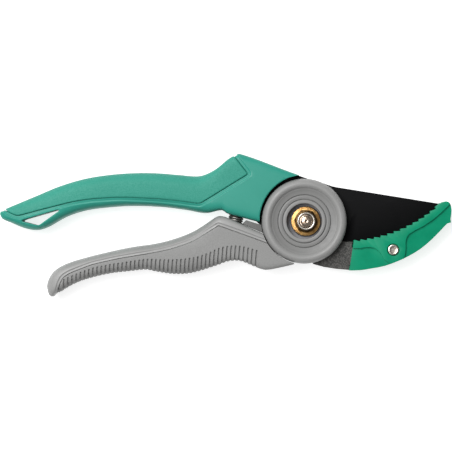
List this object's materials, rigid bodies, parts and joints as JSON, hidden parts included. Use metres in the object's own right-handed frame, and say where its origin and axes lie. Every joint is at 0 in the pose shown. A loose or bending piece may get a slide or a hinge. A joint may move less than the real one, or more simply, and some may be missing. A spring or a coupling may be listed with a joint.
{
  "type": "pruning shears",
  "caption": "Anvil pruning shears with a curved upper blade, a toothed green anvil jaw, offset soft-grip handles, a round dished hub cover, a return spring and a sliding lock.",
  "frame": {"origin": "centre of the pivot bolt head's outer face, on the pivot axis, on the back of the shears", "axes": "+X from the pivot to the blade tip, along the longest extent; +Y towards the upper, green handle; +Z along the pivot axis, out of the front face with the nut"},
  "size_m": [0.2165, 0.0663, 0.019],
  "materials": {
    "anvil_plastic": "glossy saturated green glass-filled nylon",
    "hard_green": "smooth glossy green nylon",
    "soft_green": "matt fine-grained green soft-touch elastomer",
    "hard_grey": "satin light grey nylon",
    "soft_grey": "matt ribbed grey soft-touch elastomer",
    "dark_casting": "dark grey textured coating on cast metal",
    "dark_plastic": "matt dark grey moulded plastic",
    "black_coated_steel": "satin black non-stick coating on hardened steel",
    "yellow_zinc": "yellow passivated zinc plating",
    "bright_steel": "bright zinc plated steel",
    "dark_steel": "dark oiled steel",
    "sintered_bronze": "oiled sintered bronze"
  },
  "bodies": {
    "upper_lever": {"jaw_frame": "dark_casting", "anvil": "anvil_plastic", "anvil_screw": "bright_steel", "anvil_screw_nut": "bright_steel", "upper_handle": "hard_green", "upper_grip": "soft_green", "hub_cover_back": "hard_grey", "pivot_bolt": "bright_steel", "bolt_washer": "dark_steel", "pivot_bushing": "sintered_bronze", "glide_washer": "sintered_bronze", "nut_washer": "dark_steel", "flange_nut": "yellow_zinc", "nut_locking_ring": "bright_steel"},
    "lower_lever": {"blade": "black_coated_steel", "hub_cover_front": "hard_grey", "lower_handle": "hard_grey", "lower_grip": "soft_grey", "closing_bumper": "soft_grey", "spring": "dark_steel"},
    "lock": {"lock_slider": "dark_plastic"}
  },
  "joints": [
    {"name": "handle_pivot", "type": "hinge", "parent": "upper_lever", "child": "lower_lever", "pos_m": [0, 0, 0], "axis": [0, 0, 1], "range_deg": [0, 25], "stiffness_Nm_per_rad": 0.3, "springref_deg": 51.57, "deforming": ["spring"]},
    {"name": "lock_slide", "type": "slide", "parent": "upper_lever", "child": "lock", "axis": [0.8949, -0.4462, 0], "range_m": [0, 0.0027]}
  ]
}
